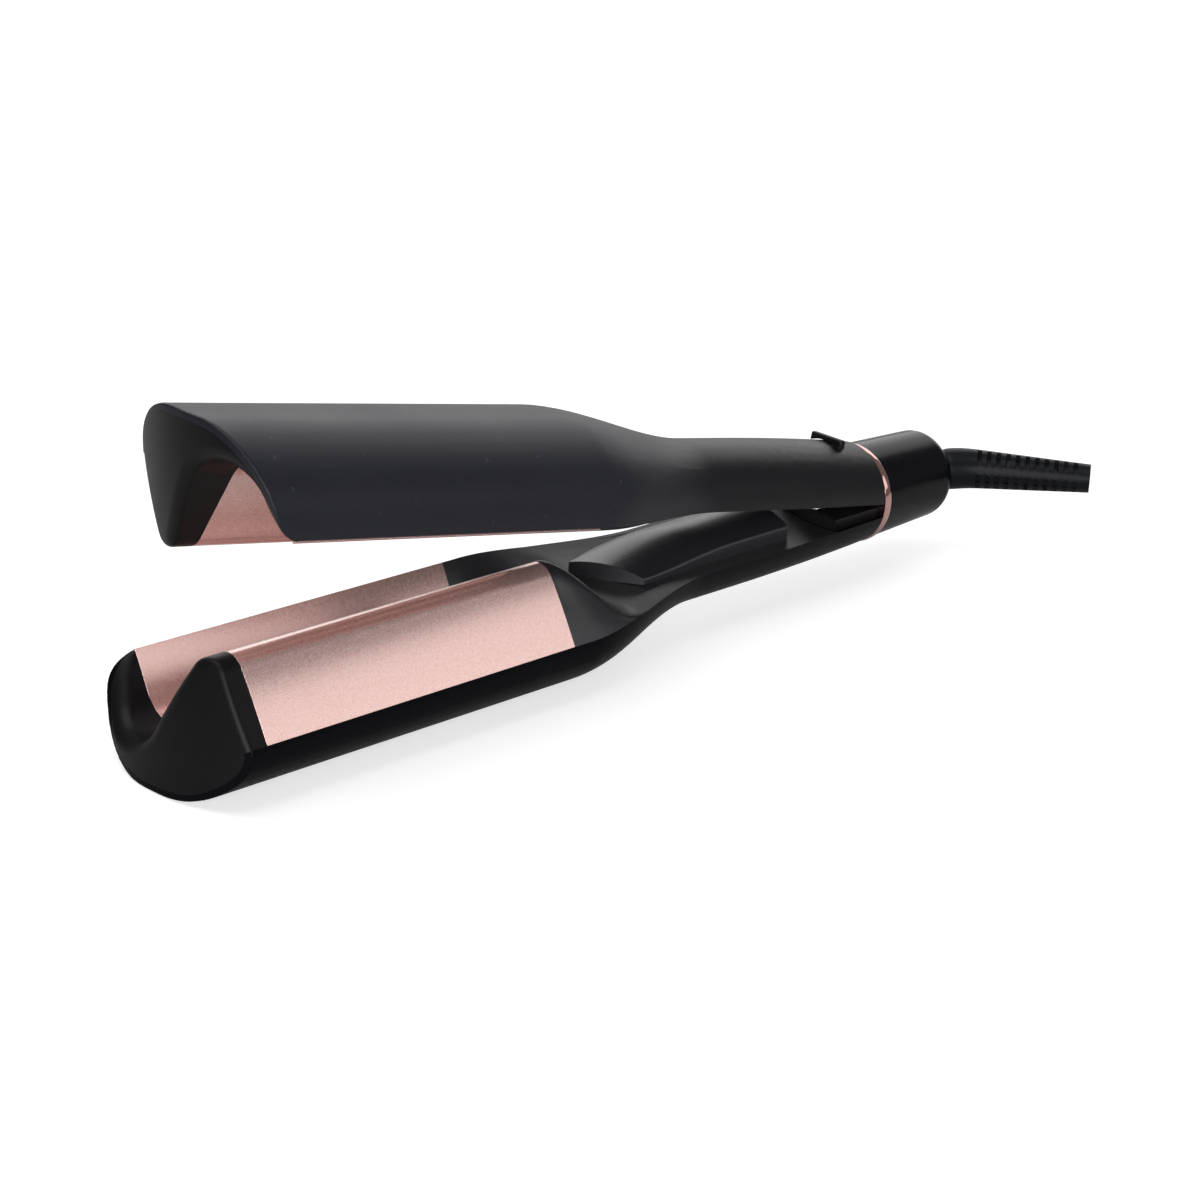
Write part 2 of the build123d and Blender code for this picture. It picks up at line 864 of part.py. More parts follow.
def relief_plane(distance):
    """Plane square to the relief at a distance from the ball's centre."""
    share = distance / relief_path.length
    return Plane(origin=relief_path.position_at(share), z_dir=relief_path.tangent_at(share))


bend_end = relief_path.length - relief_path.edges().sort_by(SortBy.LENGTH)[-1].length
flare_end = relief_start + relief_flare_length
taper_start = flare_end + relief_flare_hold


def relief_radius_at(distance):
    """Radius behind the flare, level at first and then tapering to the tip."""
    share = max(0.0, (distance - taper_start) / (relief_path.length - taper_start))
    return blend(relief_flare_radius, relief_tip_radius, share)


def relief_section(distance, radius):
    with BuildSketch(relief_plane(distance)) as section:
        Circle(radius)
    return section.sketch


with BuildPart() as strain_relief_root:
    flare_middle = blend(relief_start, flare_end, 0.4)
    loft(
        [
            relief_section(relief_start, relief_neck_radius),
            relief_section(flare_middle, blend(relief_neck_radius, relief_flare_radius, 0.7)),
            relief_section(flare_end, relief_flare_radius),
        ]
    )
    loft([relief_section(d, relief_radius_at(d)) for d in stations(flare_end, bend_end, 4)])
    loft([relief_section(d, relief_radius_at(d)) for d in (bend_end, relief_path.length)])
    # Bending slots in four rows, with a spine left between them
    for i in range(slot_count):
        distance = relief_path.length - slot_end_margin - i * slot_pitch
        outer_radius = relief_radius_at(distance)
        depth = blend(slot_tip_depth, slot_root_depth, i / (slot_count - 1))
        with BuildSketch(relief_plane(distance - slot_width / 2)):
            for quarter in range(4):
                turn = slot_row_turn + 90 * quarter
                turns = (turn, turn + slot_span / 2, turn + slot_span)
                outside = Vector(outer_radius / math.cos(math.radians(slot_span / 2)) + slot_overshoot, 0)
                floor = Vector(outer_radius - depth, 0)
                with BuildLine():
                    Polyline(
                        [outside.rotate(Axis.Z, turns[0]), outside.rotate(Axis.Z, turns[-1])]
                        + [floor.rotate(Axis.Z, t) for t in reversed(turns)],
                        close=True,
                    )
                make_face()
        extrude(amount=slot_width, mode=Mode.SUBTRACT)
    # Bore for the cord
    with BuildSketch(relief_plane(0)):
        Circle(cord_bore_radius)
    sweep(path=relief_path, mode=Mode.SUBTRACT)

with BuildPart() as strain_relief:
    add(strain_relief_root.part.moved(root))
strain_relief.part.label = "strain_relief"

with BuildPart() as swivel_ball_root:
    Sphere(ball_radius)
    with BuildSketch(Plane.YZ):
        Circle(relief_neck_radius)
    extrude(amount=relief_start)
    Cylinder(cord_bore_radius, 4 * ball_radius, rotation=(0, 90, 0), mode=Mode.SUBTRACT)
    for side in (-1, 1):
        with BuildSketch(Plane.XY.offset(side * (ball_radius - trunnion_root))):
            Circle(trunnion_radius)
        extrude(amount=side * (cage_radius - trunnion_setback - ball_radius + trunnion_root))

with BuildPart() as swivel_ball:
    add(swivel_ball_root.part.moved(root))
swivel_ball.part.label = "swivel_ball"

# ---------------------------------------------------------------- upper arm
stop_plane = opened.inverse() * Location(Plane.YZ.offset(-stop_gap))

with BuildPart() as upper_shell_closed:
    add(arm_shell(upper_shoulder, nose).moved(Rot(180, 0, 0)))
    # The rear end is cut so that it stands parallel to the ring when the arm is open
    split(bisect_by=Plane(stop_plane), keep=Keep.BOTTOM)
    # Slot for the stem of the slider
    with Locations((slider_x + slider_travel / 2, 0, 0)):
        Box(
            slider_travel + stem_width + 2 * stem_clearance,
            stem_width + 2 * stem_clearance,
            2 * handle_radius,
            align=(Align.CENTER, Align.CENTER, Align.MIN),
            mode=Mode.SUBTRACT,
        )
    # Bosses for the screws of the hinge lug
    with Locations(
        (lug_screw_x, lug_screw_y, lug_plate_z + lug_plate_thickness),
        (lug_screw_x, -lug_screw_y, lug_plate_z + lug_plate_thickness),
    ):
        Cylinder(lug_boss_radius, lug_boss_height, align=(Align.CENTER, Align.CENTER, Align.MIN))
        Cylinder(
            lug_screw_radius,
            2 * (lug_screw_length - lug_plate_thickness),
            mode=Mode.SUBTRACT,
        )

with BuildPart() as upper_shell:
    add(upper_shell_closed.part.moved(opened))
upper_shell.part.label = "upper_shell"

with BuildPart() as upper_end_cap:
    add(arm_end_cap(nose).moved(upper_arm))
upper_end_cap.part.label = "upper_end_cap"

with BuildPart() as upper_plate:
    add(arm_plate().moved(upper_arm))
upper_plate.part.label = "upper_plate"

with BuildPart() as upper_heater:
    add(arm_heater().moved(upper_arm))
upper_heater.part.label = "upper_heater"

with BuildPart() as upper_mica:
    add(arm_mica().moved(upper_arm))
upper_mica.part.label = "upper_mica"

with BuildPart() as upper_clamp:
    add(arm_clamp().moved(upper_arm))
upper_clamp.part.label = "upper_clamp"

with BuildPart() as upper_clamp_screws:
    add(arm_clamp_screws().moved(upper_arm))
upper_clamp_screws.part.label = "upper_clamp_screws"

with BuildPart() as thermal_fuse:
    add(capsule(fuse_radius, fuse_length, plate_middle_x).moved(upper_arm))
thermal_fuse.part.label = "thermal_fuse"

board_screw_spacing = board_length - 2 * board_screw_inset
board_middle_x = board_front_x + board_length / 2

with BuildPart() as upper_inner_cover_closed:
    add(arm_inner_cover(upper_shoulder, upper_floor_dip).moved(Rot(180, 0, 0)))
    with Locations((board_middle_x, 0, board_z)):
        with GridLocations(board_screw_spacing, 0, 2, 1):
            Cylinder(
                board_boss_radius,
                board_boss_height,
                align=(Align.CENTER, Align.CENTER, Align.MAX),
            )
            Cylinder(
                board_screw_radius,
                2 * (board_screw_length - board_thickness),
                mode=Mode.SUBTRACT,
            )

with BuildPart() as upper_inner_cover:
    add(upper_inner_cover_closed.part.moved(opened))
upper_inner_cover.part.label = "upper_inner_cover"

with BuildPart() as control_board_closed:
    with BuildSketch(Plane.XY.offset(board_z)):
        with Locations((board_middle_x, 0)):
            RectangleRounded(board_length, board_width, board_corner)
            with GridLocations(board_screw_spacing, 0, 2, 1):
                Circle(board_screw_radius + running_clearance, mode=Mode.SUBTRACT)
    extrude(amount=board_thickness)
    with BuildSketch(Plane.XY.offset(board_z + board_thickness)):
        with Locations((board_middle_x, 0)):
            Rectangle(relay_length, relay_width)
    extrude(amount=relay_height)
    with BuildSketch(Plane.YZ.offset(board_middle_x + relay_length)):
        with Locations((0, board_z + board_thickness + capacitor_radius / 2)):
            Circle(capacitor_radius)
    extrude(amount=capacitor_length)

with BuildPart() as control_board:
    add(control_board_closed.part.moved(opened))
control_board.part.label = "control_board"

board_screw = screw(board_screw_radius - running_clearance, board_screw_length - 2 * running_clearance)

with BuildPart() as board_screws_closed:
    with Locations((board_middle_x, 0, board_z + board_thickness)):
        with GridLocations(board_screw_spacing, 0, 2, 1):
            add(board_screw.moved(Rot(180, 0, 0)))

with BuildPart() as board_screws:
    add(board_screws_closed.part.moved(opened))
board_screws.part.label = "board_screws"

lug_screw = screw(lug_screw_radius - running_clearance, lug_screw_length - 2 * running_clearance)

with BuildPart() as lug_screws_closed:
    with Locations((lug_screw_x, 0, lug_plate_z)):
        with GridLocations(0, 2 * lug_screw_y, 1, 2):
            add(lug_screw)

with BuildPart() as lug_screws:
    add(lug_screws_closed.part.moved(opened))
lug_screws.part.label = "lug_screws"

with BuildPart() as switch_body_closed:
    with BuildSketch(Plane.XY.offset(lug_plate_z + lug_plate_thickness)):
        with Locations((slider_x + slider_travel / 2, 0)):
            RectangleRounded(switch_length, switch_width, switch_corner)
    extrude(amount=switch_height)

with BuildPart() as switch_body:
    add(switch_body_closed.part.moved(opened))
switch_body.part.label = "switch_body"

slider_clear_radius = handle_radius_at(slider_x - slider_bar_width) + slider_gap

with BuildPart() as switch_slider_closed:
    with BuildSketch(Plane.XY.offset(slider_top_z)):
        with Locations((slider_x, 0)):
            SlotOverall(slider_bar_length, slider_bar_width, rotation=90)
    extrude(amount=slider_top_z - handle_radius + slider_bar_width, dir=(0, 0, -1))
    chamfer(switch_slider_closed.faces().sort_by(Axis.Z)[-1].edges(), length=slider_edge)
    Cylinder(slider_clear_radius, 4 * slider_bar_length, rotation=(0, 90, 0), mode=Mode.SUBTRACT)
    with BuildSketch(Plane.XY.offset(slider_foot_z)):
        with Locations((slider_x, 0)):
            Rectangle(stem_width, stem_width)
    extrude(amount=slider_clear_radius + slider_gap - slider_foot_z)
    with BuildSketch(Plane.XY.offset(slider_foot_z)):
        with Locations((slider_x, 0)):
            Rectangle(slider_foot_length, slider_foot_width)
    extrude(amount=slider_foot_thickness)

with BuildPart() as switch_slider:
    add(switch_slider_closed.part.moved(opened))
switch_slider.part.label = "switch_slider"

# ---------------------------------------------------------------- assembly
# The part's own origin is under the middle of the assembly, on the surface it lies on.
pieces = [
    lower_shell,
    lower_end_cap,
    lower_plate,
    lower_heater,
    lower_mica,
    lower_clamp,
    lower_clamp_screws,
    thermistor,
    lower_inner_cover,
    hinge_frame,
    hinge_pin,
    hinge_lug,
    hinge_bushes,
    opening_spring,
    accent_ring,
    rear_cap,
    swivel_retainer,
    swivel_cage,
    swivel_ball,
    strain_relief,
    upper_shell,
    upper_end_cap,
    upper_plate,
    upper_heater,
    upper_mica,
    upper_clamp,
    upper_clamp_screws,
    thermal_fuse,
    upper_inner_cover,
    control_board,
    board_screws,
    lug_screws,
    switch_body,
    switch_slider,
]
assembly_box = pieces[0].part.bounding_box()
for piece in pieces[1:]:
    assembly_box = assembly_box.add(piece.part.bounding_box())
middle = assembly_box.center()
to_origin = Pos(-middle.X, -middle.Y, -assembly_box.min.Z)
for piece in pieces:
    placed = piece.part.moved(to_origin)
    placed.label = piece.part.label
    export_step(placed, f"parts/{placed.label}.step")
print("hinge centre", (to_origin * hinge).position)
print("slide direction", Vector(1, 0, 0).rotate(Axis.Y, open_angle))
print("ball centre", (to_origin * root).position)
print("tilt axis", Vector(0, 0, 1).rotate(Axis.X, -swivel_spin))
cord_mouth = to_origin * root * Location(relief_plane(relief_path.length))
print("cord mouth", cord_mouth.position, "direction", Plane(cord_mouth).z_dir)
print("spring seat", (to_origin * Pos(spring_x, 0, spring_seat_z)).position)
print("origin shift", to_origin.position)
print("size", assembly_box.size)
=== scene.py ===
# %% [markdown]
# # A hair waver with nesting S-shaped plates
#
# The tool is two arms that open from a hinge inside a rose-gold ring. Each arm carries an
# S-shaped ceramic plate, and the two plates nest, so a strand of hair laid between them comes
# out in one deep wave. The solid pieces are already modelled at their real size. This lesson
# turns them into finished pieces: moulded edges, soft-touch lacquer, sparkling ceramic, chrome.

import json
from math import radians

import bmesh
import bpy
from mathutils import Matrix, Quaternion, Vector

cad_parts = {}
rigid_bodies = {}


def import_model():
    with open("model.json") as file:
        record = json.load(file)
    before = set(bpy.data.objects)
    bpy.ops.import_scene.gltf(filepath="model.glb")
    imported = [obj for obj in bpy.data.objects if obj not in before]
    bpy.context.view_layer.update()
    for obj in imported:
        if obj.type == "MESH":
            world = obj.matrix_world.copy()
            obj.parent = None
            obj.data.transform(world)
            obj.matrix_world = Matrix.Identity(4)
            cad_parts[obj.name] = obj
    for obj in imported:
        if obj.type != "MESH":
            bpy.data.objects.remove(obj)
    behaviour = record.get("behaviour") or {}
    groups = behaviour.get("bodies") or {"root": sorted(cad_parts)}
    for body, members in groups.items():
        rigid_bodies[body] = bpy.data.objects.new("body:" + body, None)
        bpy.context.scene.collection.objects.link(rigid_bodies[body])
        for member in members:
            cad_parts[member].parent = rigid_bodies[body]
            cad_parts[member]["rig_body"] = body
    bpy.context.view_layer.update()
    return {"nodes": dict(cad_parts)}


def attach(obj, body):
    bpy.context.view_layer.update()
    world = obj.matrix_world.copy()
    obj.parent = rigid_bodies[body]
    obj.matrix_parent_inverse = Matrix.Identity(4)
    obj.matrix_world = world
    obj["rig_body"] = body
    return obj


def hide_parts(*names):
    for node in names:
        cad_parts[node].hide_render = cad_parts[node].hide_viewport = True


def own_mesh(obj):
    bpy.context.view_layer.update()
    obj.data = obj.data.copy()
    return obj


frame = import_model()

# %% [markdown]
# ## Arithmetic for materials
#
# A material is a small network. Adding a Math node by hand for each sum soon hides what is
# being worked out, so one class wraps a socket and lets Python's own operators add the nodes.
# A finish then reads like a formula.


# %% A socket that can be used in sums
class Wire:
    """A value on its way through a material. Sums with it add Math nodes."""

    def __init__(self, tree, socket):
        self.tree = tree
        self.socket = socket

    def maths(self, operation, second):
        node = self.tree.nodes.new("ShaderNodeMath")
        node.operation = operation
        join(self.tree, self, node.inputs[0])
        join(self.tree, second, node.inputs[1])
        return Wire(self.tree, node.outputs[0])

    def __add__(self, other):
        return self.maths("ADD", other)

    __radd__ = __add__

    def __sub__(self, other):
        return self.maths("SUBTRACT", other)

    def __mul__(self, other):
        return self.maths("MULTIPLY", other)

    def __gt__(self, other):
        return self.maths("GREATER_THAN", other)


def join(tree, value, socket):
    """Put a number, a colour or a link into a socket. A colour gets its fourth number."""
    if isinstance(value, Wire):
        tree.links.new(value.socket, socket)
        return
    present = socket.default_value
    needs_alpha = hasattr(present, "__len__") and len(present) == 4 and len(value) == 3
    socket.default_value = (*value, 1.0) if needs_alpha else value


# %% [markdown]
# ## What every finish needs
#
# All patterns here read Object coordinates. They are in metres and belong to the piece, so a
# grain of half a millimetre is the same grain on every piece, and it stays where it is when
# an arm moves. The numbers that are the same all over a piece go straight onto the shader.


# %% A material with its shader and one way to add nodes
class Finish:
    """A new material. Its main shader gets the constants, add() makes any other node."""

    def __init__(self, name, constants=None):
        self.material = bpy.data.materials.new(name)
        self.material.use_nodes = True
        self.tree = self.material.node_tree
        self.shader = self.tree.nodes["Principled BSDF"]
        self.place = self.add("ShaderNodeTexCoord", {}, {}, "Object")
        for socket, value in (constants or {}).items():
            self.set(socket, value)

    def add(self, kind, settings, sockets, output=0):
        node = self.tree.nodes.new(kind)
        for setting, value in settings.items():
            setattr(node, setting, value)
        for socket, value in sockets.items():
            join(self.tree, value, node.inputs[socket])
        return Wire(self.tree, node.outputs[output])

    def set(self, socket, value):
        join(self.tree, value, self.shader.inputs[socket])

    def noise(self, size, detail=2.0, sharpness=0.5):
        """Cloudy pattern whose patches are about the given size in metres."""
        sockets = {
            "Vector": self.place,
            "Scale": 1 / size,
            "Detail": detail,
            "Roughness": sharpness,
        }
        return self.add("ShaderNodeTexNoise", {}, sockets, "Fac")

    def flecks(self, size):
        """One random number for each small cell of the surface."""
        sockets = {"Vector": self.place, "Scale": 1 / size}
        colour = self.add("ShaderNodeTexVoronoi", {}, sockets, "Color")
        return self.add("ShaderNodeSeparateColor", {}, {0: colour})

    def mix(self, share, first, second):
        """Colour between two colours."""
        sockets = {0: share, 6: first, 7: second}
        return self.add("ShaderNodeMix", {"data_type": "RGBA"}, sockets, 2)

    def along_x(self, start, end):
        """Share that grows smoothly from 0 to 1 between two places along X."""
        x = self.add("ShaderNodeSeparateXYZ", {}, {0: self.place})
        sockets = {"Value": x, "From Min": start, "From Max": end}
        return self.add("ShaderNodeMapRange", {"interpolation_type": "SMOOTHSTEP"}, sockets)

    def relief(self, height, depth):
        """Bump the surface by a height of 0 to 1 that stands for a depth in metres."""
        sockets = {"Height": height, "Distance": depth, "Strength": 1.0}
        self.set("Normal", self.add("ShaderNodeBump", {}, sockets))


# %% [markdown]
# ## Black plastics
#
# Seven blacks look like one until light falls on them. What tells them apart is how wide they
# scatter it and how much they mirror, so each is given a roughness and a Specular IOR Level.
# Most of these levels are below Blender's usual 0.5, which keeps a black deep. Real plastic is
# never even: a slow cloud shifts the colour and the shine a little, and a fine grain breaks
# the highlights. An image could show both, but noise needs none and has no seams. Lint is a
# few cells of a Voronoi pattern, chosen by their random number.

# %% One recipe for all the blacks
cloud_size, cloud_detail, cloud_shine = 0.03, 3.0, 0.08
grain_detail, grain_sharpness, grain_shine = 2.0, 0.6, 0.1
deep_shade, light_shade = 0.8, 1.2
lint_size, lint_shape_size, lint_shape_share = 0.0009, 0.0005, 0.52
lint_colour, lint_share = (0.2, 0.2, 0.21), 0.15
# The darker colour at the handle end is painted shade. The lower roughness there makes it
# smoother.
painted_handle_shade, polished_shine = 0.3, 0.05


def shaded(colour, shade):
    """A colour made darker or lighter."""
    return tuple(shade * c for c in colour)


def black_plastic(
    name, colour, roughness, mirror, grain_size, grain_depth, lint=0.0, shade_and_polish=None
):
    """Black plastic. The last argument gives the places along X between which it turns dark, as
    painted shade, and smooth.
    """
    finish = Finish(name, {"Specular IOR Level": mirror})
    cloud = finish.noise(cloud_size, cloud_detail)
    grain = finish.noise(grain_size, grain_detail, grain_sharpness)
    base = finish.mix(cloud, shaded(colour, deep_shade), shaded(colour, light_shade))
    if lint:
        shape = finish.flecks(lint_size) > 1 - lint
        speck = shape * (finish.noise(lint_shape_size) > lint_shape_share)
        base = finish.mix(speck * lint_share, base, lint_colour)
    rough = roughness + (cloud - 0.5) * cloud_shine + (grain - 0.5) * grain_shine
    # Towards the handle: painted shade as a darker colour, and a lower roughness.
    if shade_and_polish:
        shade_and_polish_share = finish.along_x(*shade_and_polish)
        base = finish.mix(shade_and_polish_share, base, shaded(colour, painted_handle_shade))
        rough = rough - shade_and_polish_share * polished_shine
    finish.set("Base Color", base)
    finish.set("Roughness", rough)
    finish.relief(grain, grain_depth)
    print("finish", name)
    return finish.material


# %% [markdown]
# ### Soft-touch lacquer and the other mouldings
#
# The upper shell is sprayed with a rubbery lacquer that looks grey-blue where light grazes
# it. Towards the handle its colour is painted darker, as painted shade, and it is smoother.
# The end caps and the button are moulded satin, the inner covers are the lightest, and the
# lower handle and the rear cap are plain and dark.

# %% The blacks of the shells, caps and covers
soft_touch = black_plastic(
    "soft_touch",
    (0.008, 0.0085, 0.0135),
    roughness=0.46,
    mirror=0.28,
    grain_size=0.0005,
    grain_depth=0.00002,
    lint=0.003,
    # Darker towards the handle as painted shade, and smoother.
    shade_and_polish=(-0.03, 0.03),
)
satin_black = black_plastic(
    "satin_black",
    (0.0038, 0.0038, 0.0046),
    roughness=0.40,
    mirror=0.16,
    grain_size=0.0006,
    grain_depth=0.00002,
)
cover_black = black_plastic(
    "cover_black",
    (0.020, 0.0202, 0.0235),
    roughness=0.34,
    mirror=0.6,
    grain_size=0.0007,
    grain_depth=0.00001,
    lint=0.002,
)
handle_black = black_plastic(
    "handle_black",
    (0.0022, 0.0024, 0.0034),
    roughness=0.26,
    mirror=0.06,
    grain_size=0.0006,
    grain_depth=0.000006,
)

# %% The blacks of the rear cap, the cord's relief and the hinge
gloss_black = black_plastic(
    "gloss_black",
    (0.0024, 0.0026, 0.0036),
    roughness=0.2,
    mirror=0.14,
    grain_size=0.0006,
    grain_depth=0.000004,
)
rubber_black = black_plastic(
    "rubber_black",
    (0.003, 0.0035, 0.006),
    roughness=0.42,
    mirror=0.14,
    grain_size=0.0008,
    grain_depth=0.000004,
)
nylon_black = black_plastic(
    "nylon_black",
    (0.010, 0.010, 0.011),
    roughness=0.5,
    mirror=0.3,
    grain_size=0.0005,
    grain_depth=0.00003,
)

# %% [markdown]
# ## Rose ceramic
#
# The plates are aluminium under a rose-gold ceramic coat with metal flakes. Seen close, the
# coat glitters: each flake lies at its own tilt. Small random cells stand for the flakes. They
# change the colour and the roughness, and a fine bump tilts them. Modelled flakes would be
# far too many. The coat is neither quite metal nor quite paint, so Metallic stands between
# the two.

# %% The coat of the plates
flake_size, flake_share, flake_shine = 0.00034, 0.4, 0.06
ceramic = Finish("rose_ceramic", {"Coat Weight": 0.1, "Coat Roughness": 0.1})
flake = ceramic.flecks(flake_size)
cloud = ceramic.noise(0.012, 2.0)
body_colour = ceramic.mix(cloud, (0.76, 0.50, 0.462), (0.78, 0.52, 0.482))
flake_colour = ceramic.mix(flake, (0.64, 0.39, 0.35), (0.94, 0.74, 0.70))
ceramic.set("Base Color", ceramic.mix(flake_share, body_colour, flake_colour))
ceramic.set("Metallic", 0.75)
ceramic.set("Roughness", 0.2 + flake * flake_shine)
ceramic.relief(ceramic.noise(0.0004, 1.0), 0.000006)
print("finish rose_ceramic")

# %% [markdown]
# ## Rose-gold chrome
#
# The ring is plated and polished, so it is pure metal and nearly a mirror. One colour and one
# roughness would do, but a faint smear in both keeps it from looking computed.

# %% The plating of the ring
chrome = Finish("rose_chrome", {"Metallic": 1.0})
smear = chrome.noise(0.004, 2.0)
chrome.set("Base Color", chrome.mix(smear, (0.66, 0.38, 0.35), (0.72, 0.43, 0.40)))
chrome.set("Roughness", 0.07 + smear * 0.06)
print("finish rose_chrome")

# %% [markdown]
# ## Finishes of the inner pieces
#
# Steel, bronze, ceramic, mica and the circuit board hide inside the housings. Two recipes do
# for all of them: a metal with the faint streaks of its making, which are a noise stretched
# along X, and a matt material whose colour wanders between two shades. Little of them is
# ever seen, so finer recipes would be wasted.

# %% Two recipes for what is inside
streak_stretch, streak_scale, streak_depth = (0.1, 1.0, 1.0), 4000.0, 0.00001
streak_shade, streak_shine = 0.85, 0.15
patch_detail, patch_depth, patch_shine = 4.0, 0.00003, 0.2


def metal(name, colour, roughness):
    """Bright metal with the faint streaks of drawing or turning along X."""
    finish = Finish(name, {"Metallic": 1.0})
    sockets = {"Vector": finish.place, "Scale": streak_stretch}
    stretched = finish.add("ShaderNodeMapping", {}, sockets)
    sockets = {"Vector": stretched, "Scale": streak_scale}
    streak = finish.add("ShaderNodeTexNoise", {}, sockets, "Fac")
    finish.set("Base Color", finish.mix(streak, shaded(colour, streak_shade), colour))
    finish.set("Roughness", roughness + (streak - 0.5) * streak_shine)
    finish.relief(streak, streak_depth)
    return finish.material


def matt(name, dark, light, roughness, patch):
    """Matt material whose colour wanders between two shades, in patches of this size."""
    finish = Finish(name)
    cloud = finish.noise(patch, patch_detail)
    finish.set("Base Color", finish.mix(cloud, dark, light))
    finish.set("Roughness", roughness + (cloud - 0.5) * patch_shine)
    finish.relief(cloud, patch_depth)
    return finish.material


# %% The inner finishes
steel = metal("zinc_steel", (0.62, 0.62, 0.64), 0.3)
spring_steel = metal("spring_steel", (0.5, 0.5, 0.52), 0.28)
bronze = metal("bronze", (0.70, 0.48, 0.25), 0.35)
alumina = matt("alumina", (0.80, 0.79, 0.76), (0.86, 0.85, 0.82), 0.4, 0.002)
mica = matt("mica", (0.50, 0.40, 0.25), (0.68, 0.58, 0.40), 0.35, 0.003)
board_green = matt("board_green", (0.02, 0.14, 0.06), (0.03, 0.19, 0.08), 0.35, 0.004)
bead_glass = matt("bead_glass", (0.55, 0.28, 0.10), (0.70, 0.40, 0.18), 0.2, 0.002)
print("finishes", [material.name for material in bpy.data.materials])

# %% [markdown]
# ## Where the arms are
#
# The two arms are one form. The upper arm is the lower one turned over and then opened about
# the hinge pin. Each could be given shapes of its own, but one matrix for each arm leads from
# the arm's own frame to its place in the model, so a shape is described once and fits both.

# %% A place for each arm, in metres
origin = Vector((0.105057, 0.007423, 0.027367))
pin = Vector((0.00425, 0.0, -0.0004))
turned_over = Matrix.Rotation(radians(180.0), 4, "X")
swing = Matrix.Rotation(radians(10.37), 4, "Y")
opened = Matrix.Translation(pin) @ swing @ Matrix.Translation(-pin)
arm_place = {"lower": Matrix.Translation(origin)}
arm_place["upper"] = arm_place["lower"] @ opened @ turned_over
print("arms", list(arm_place))

# %% [markdown]
# ## The noses
#
# One sphere cuts the solid noses. The finished nose leans back over the ridge and juts
# forward at the belly, which is a sweep of its own. It could be sculpted by hand, but both
# forms can be written as a length in front of the plate for each place on the cross-section,
# and then moving a point is one multiplication: its distance from the plate grows by the
# ratio of the two lengths. A point on the plate's front edge stays, and the seam between
# shell and cap stays closed, because both move alike.

# %% Lengths of the nose in millimetres
sphere_radius, sphere_y, sphere_z, tip_length = 42.0, 2.0, -9.0, 18.4
swept_middle = 13.12


def solid_nose(y, z):
    """Length of the solid nose, which one sphere cuts."""
    bulge = (sphere_radius**2 - (y - sphere_y) ** 2 - (z - sphere_z) ** 2) ** 0.5
    return tip_length - sphere_radius + bulge


def swept_nose(y, z):
    """Length of the finished nose, which leans back over the ridge and juts at the belly."""
    slope = 0.102 * y - 0.2238 * z
    return swept_middle + slope - 0.00857 * y * y - 0.00265 * z * z + 0.00197 * y * z


print("middle of the nose", round(solid_nose(0.0, 0.0), 2), "to", swept_nose(0.0, 0.0), "mm")

# %% Sweep a nose. The plate's front edge is in metres along the arm
plate_front, seam_slack = -0.2714, 1e-5


def sweep_nose(work, arm):
    """Move the nose's points along the arm from the solid form to the swept one."""
    place = arm_place[arm]
    back = place.inverted()
    moved = 0
    for point in work.verts:
        spot = back @ point.co
        if spot.x < plate_front - seam_slack:
            y, z = 1000.0 * spot.y, 1000.0 * spot.z
            spot.x = plate_front + (spot.x - plate_front) * swept_nose(y, z) / solid_nose(y, z)
            point.co = place @ spot
            moved += 1
    print("swept nose", arm, "points", moved)


# %% [markdown]
# ## Cuts, so that there are points to move
#
# A flat face has points only at its rim, so it can't be bent. Subdividing it would add points
# evenly, also where none are needed. Cutting it by parallel planes adds them where they are
# wanted and changes nothing else. The cuts lie closer together where the new form bends more.


# %% Cut faces by parallel planes
def cut_across(work, faces, direction, distances):
    """Cut faces by planes at these distances along a direction. Gives all their points."""
    parts = list(dict.fromkeys(part for f in faces for part in (f, *f.edges, *f.verts)))
    for distance in distances:
        cut = bmesh.ops.bisect_plane(
            work,
            geom=parts,
            dist=1e-7,
            plane_co=direction * distance,
            plane_no=direction,
        )
        parts = cut["geom"]
    return [part for part in parts if isinstance(part, bmesh.types.BMVert)]


# %% [markdown]
# ## The belly of the plate's flank
#
# On the real plate the flank goes on curving a little below the crest. A third of a
# millimetre is enough, because what shows is how the reflection of the lights fades towards
# the crest. A bump in the material could fake it, but the outline would stay flat. The belly
# rises steeply below the crest and dies out softly towards the foot.

# %% Swell the flank. Its reach is in metres, its cuts are millimetres below the crest
belly_reach, belly_slope = 0.028, 0.085
belly_cuts = (1.5, 3, 4.5, 6, 8, 10, 13, 17, 22, 27)


def swell_flank(work, arm):
    """Let the flat flank go on curving below the crest. It is the largest face on its side."""
    turn = arm_place[arm].to_3x3()
    along = turn @ Vector((1.0, 0.0, 0.0))
    near = [f for f in work.faces if (turn.inverted() @ f.normal).y < -0.5]
    flank = max(near, key=lambda f: f.calc_area())
    outward = flank.normal.copy()
    down = along.cross(outward)
    top = min(v.co.dot(down) for v in flank.verts)
    highest = 0.0
    for point in cut_across(work, [flank], down, [top + 0.001 * d for d in belly_cuts]):
        depth = point.co.dot(down) - top
        if 0 < depth < belly_reach:
            rise = belly_slope * depth * (1 - depth / belly_reach) ** 2
            point.co += outward * rise
            highest = max(highest, rise)
    print("belly", arm, round(1000 * highest, 3), "mm")


# %% [markdown]
# ## The front of the handle's pad
#
# The raised pad on the lower handle grows out of the neck without a step. Its solid has an
# upright wall in front. A lattice could press that down, but it would press the neck as well.
# So only the crown of the pad is lowered there, and comes back to its full height over a few
# centimetres along a smooth step. The points of the crown are found by its own curve, an arc
# across the handle, and the wall below them simply gets shorter.

# %% Find the crown of the pad, in millimetres in the arm's own frame
pad_x, pad_y = (-123.0, -41.0), (-10.45, 15.45)
crown_y, crown_z, crown_radius_squared = 2.744, -20.823, 606.36
rounded_y, rounded_depth = -8.8, 1.4
crown_slack = 0.02


